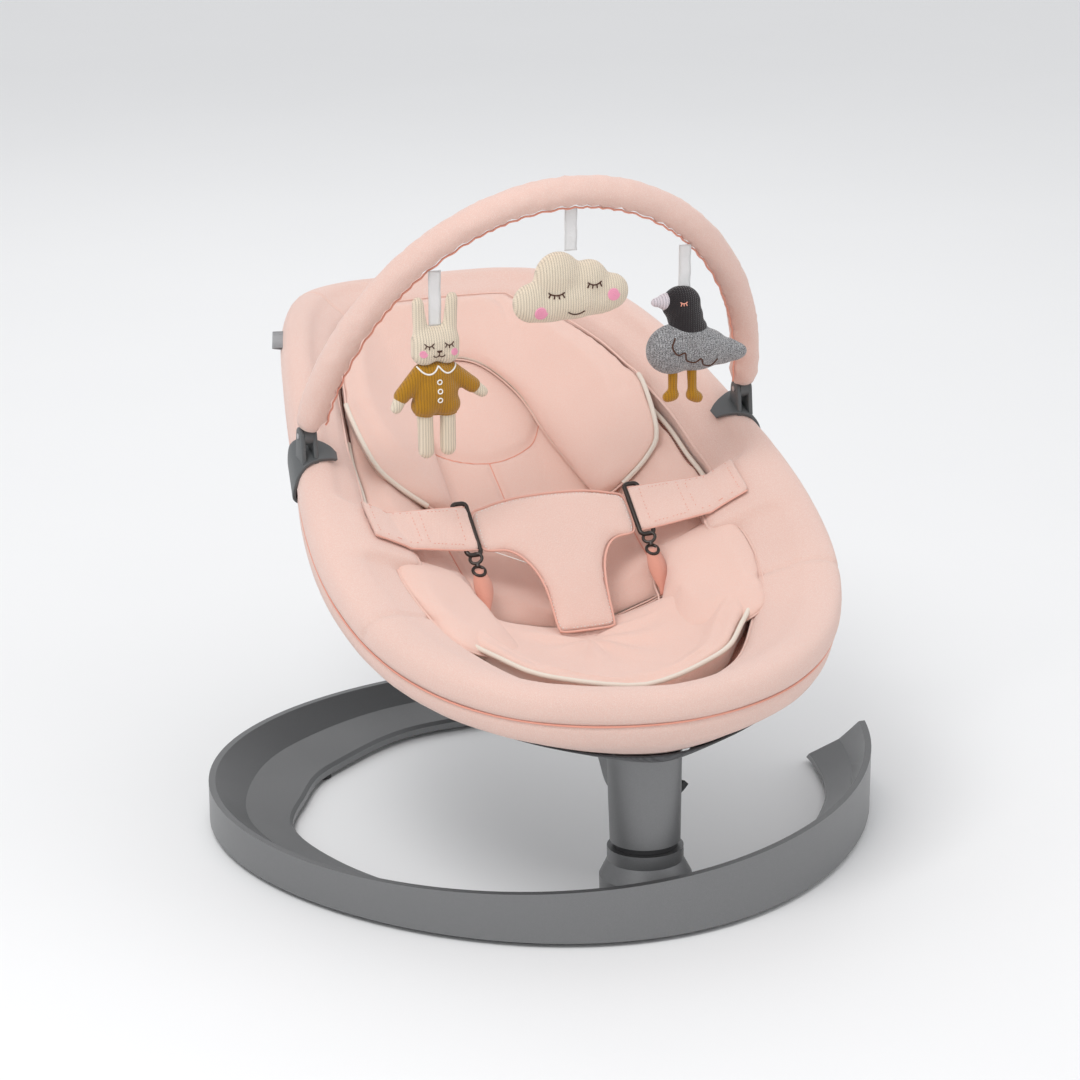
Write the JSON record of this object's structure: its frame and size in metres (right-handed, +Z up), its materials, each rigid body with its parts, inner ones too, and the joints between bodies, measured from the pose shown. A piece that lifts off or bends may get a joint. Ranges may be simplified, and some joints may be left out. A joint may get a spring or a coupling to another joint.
{
  "type": "baby swing",
  "caption": "Low baby swing seat: a padded tapered oval seat with harness and arched toy bar on a short leaning post that sways on an open ring base.",
  "frame": {"origin": "on the floor under the middle of the seat, which is the bottom centre of the bounding box", "axes": "+X the baby's left, +Y towards the head of the seat, +Z up"},
  "size_m": [0.6176, 0.6858, 0.6085],
  "materials": {
    "ring_finish": "satin grey powder coat",
    "rubber_pads": "matt",
    "black_plastic": "fine grain",
    "steel": "bright zinc",
    "nylon_bush": "natural nylon",
    "pan_metal": "black powder coat",
    "frame_tube": "mill finish",
    "pink_cover": "fine jersey weave",
    "pink_insert": "soft jersey",
    "pink_harness": "bound jersey",
    "salmon_webbing": "woven webbing",
    "grey_mesh": "melange mesh",
    "gunmetal": "dark gunmetal plate",
    "grey_clip": "satin moulded",
    "grey_tag": "woven tape",
    "white_ribbon": "satin ribbon",
    "cream_knit": "rib knit",
    "grey_knit": "melange knit"
  },
  "bodies": {
    "base": {"base_ring": "ring_finish", "base_feet": "rubber_pads", "hub_cover_plate": "black_plastic", "pivot_shaft": "steel", "pivot_shaft_nut": "steel", "thrust_ring": "black_plastic", "shaft_retaining_washer": "steel"},
    "post": {"post_shell": "ring_finish", "lower_bush": "nylon_bush", "upper_bush": "nylon_bush", "recline_pin": "steel", "recline_pin_caps": "black_plastic", "lever_pin": "steel"},
    "lock_lever": {"lock_lever": "black_plastic"},
    "brake_plunger": {"brake_plunger": "black_plastic"},
    "recline_button": {"recline_button": "black_plastic"},
    "recline_bolt": {"recline_bolt": "steel"},
    "seat": {"seat_carrier": "pan_metal", "pan_screws": "steel", "frame_arms": "frame_tube", "seat_frame_tube": "frame_tube", "rim_cover": "pink_cover", "seat_sling": "pink_cover", "underside_mesh": "grey_mesh", "insert_seat_pad": "pink_insert", "insert_back_pad": "pink_insert", "head_pillow": "pink_insert", "left_hip_bolster": "pink_insert", "right_hip_bolster": "pink_insert", "crotch_pad": "pink_harness", "left_buckle_ring": "gunmetal", "right_buckle_ring": "gunmetal", "left_waist_strap": "pink_harness", "right_waist_strap": "pink_harness", "left_buckle_hook": "gunmetal", "right_buckle_hook": "gunmetal", "left_webbing_loop": "salmon_webbing", "right_webbing_loop": "salmon_webbing", "left_bar_clip": "grey_clip", "right_bar_clip": "grey_clip", "toy_bar_pins": "steel", "edge_tag": "grey_tag"},
    "toy_bar": {"toy_bar_core": "steel", "toy_bar_sleeve": "pink_cover", "left_bar_tongue": "grey_clip", "right_bar_tongue": "grey_clip"},
    "bunny_ribbon": {"bunny_ribbon": "white_ribbon"},
    "bunny_toy": {"bunny_toy": "cream_knit"},
    "cloud_ribbon": {"cloud_ribbon": "white_ribbon"},
    "cloud_toy": {"cloud_toy": "cream_knit"},
    "bird_ribbon": {"bird_ribbon": "white_ribbon"},
    "bird_toy": {"bird_toy": "grey_knit"}
  },
  "joints": [
    {"name": "swing", "type": "hinge", "parent": "base", "child": "post", "pos_m": [0, -0.272, 0], "axis": [0, 0.0523, 0.9986], "range_deg": [-20, 20]},
    {"name": "lock_lever_turn", "type": "hinge", "parent": "post", "child": "lock_lever", "pos_m": [0.02048, -0.25287, 0.09112], "axis": [0.5736, -0.818, 0.0429], "range_deg": [0, 18]},
    {"name": "brake_plunger_slide", "type": "slide", "parent": "post", "child": "brake_plunger", "axis": [0, -0.0523, -0.9986], "range_m": [0, 0.0013]},
    {"name": "recline_button_press", "type": "slide", "parent": "post", "child": "recline_button", "axis": [0, 0, 1], "range_m": [0, 0.003], "stiffness_N_per_m": 200, "springref_m": -0.001},
    {"name": "recline_bolt_slide", "type": "slide", "parent": "post", "child": "recline_bolt", "axis": [0, 1, 0], "range_m": [0, 0.0031]},
    {"name": "recline", "type": "hinge", "parent": "post", "child": "seat", "pos_m": [0, -0.228, 0.146], "axis": [1, 0, 0], "range_deg": [-8, 8]},
    {"name": "toy_bar_tilt", "type": "hinge", "parent": "seat", "child": "toy_bar", "pos_m": [0, 0.01584, 0.369], "axis": [1, 0, 0], "range_deg": [-30, 10]},
    {"name": "bunny_ribbon_swing", "type": "hinge", "parent": "toy_bar", "child": "bunny_ribbon", "pos_m": [-0.11743, -0.06818, 0.53001], "axis": [1, 0, 0], "range_deg": [-15, 15]},
    {"name": "bunny_toy_swing", "type": "hinge", "parent": "bunny_ribbon", "child": "bunny_toy", "pos_m": [-0.11743, -0.06818, 0.48601], "axis": [0, 1, 0], "range_deg": [-5, 5]},
    {"name": "cloud_ribbon_swing", "type": "hinge", "parent": "toy_bar", "child": "cloud_ribbon", "pos_m": [0, -0.0874, 0.57949], "axis": [1, 0, 0], "range_deg": [-15, 15]},
    {"name": "cloud_toy_swing", "type": "hinge", "parent": "cloud_ribbon", "child": "cloud_toy", "pos_m": [0, -0.0874, 0.54649], "axis": [0, 1, 0], "range_deg": [-15, 15]},
    {"name": "bird_ribbon_swing", "type": "hinge", "parent": "toy_bar", "child": "bird_ribbon", "pos_m": [0.11437, -0.06926, 0.53272], "axis": [1, 0, 0], "range_deg": [-15, 15]},
    {"name": "bird_toy_swing", "type": "hinge", "parent": "bird_ribbon", "child": "bird_toy", "pos_m": [0.11437, -0.06926, 0.49872], "axis": [0, 1, 0], "range_deg": [-15, 15]}
  ],
  "couplings": [
    {"joint": "brake_plunger_slide", "follows": "lock_lever_turn", "m_per_rad": 0.00382},
    {"joint": "recline_bolt_slide", "follows": "recline_button_press", "ratio": 1}
  ]
}
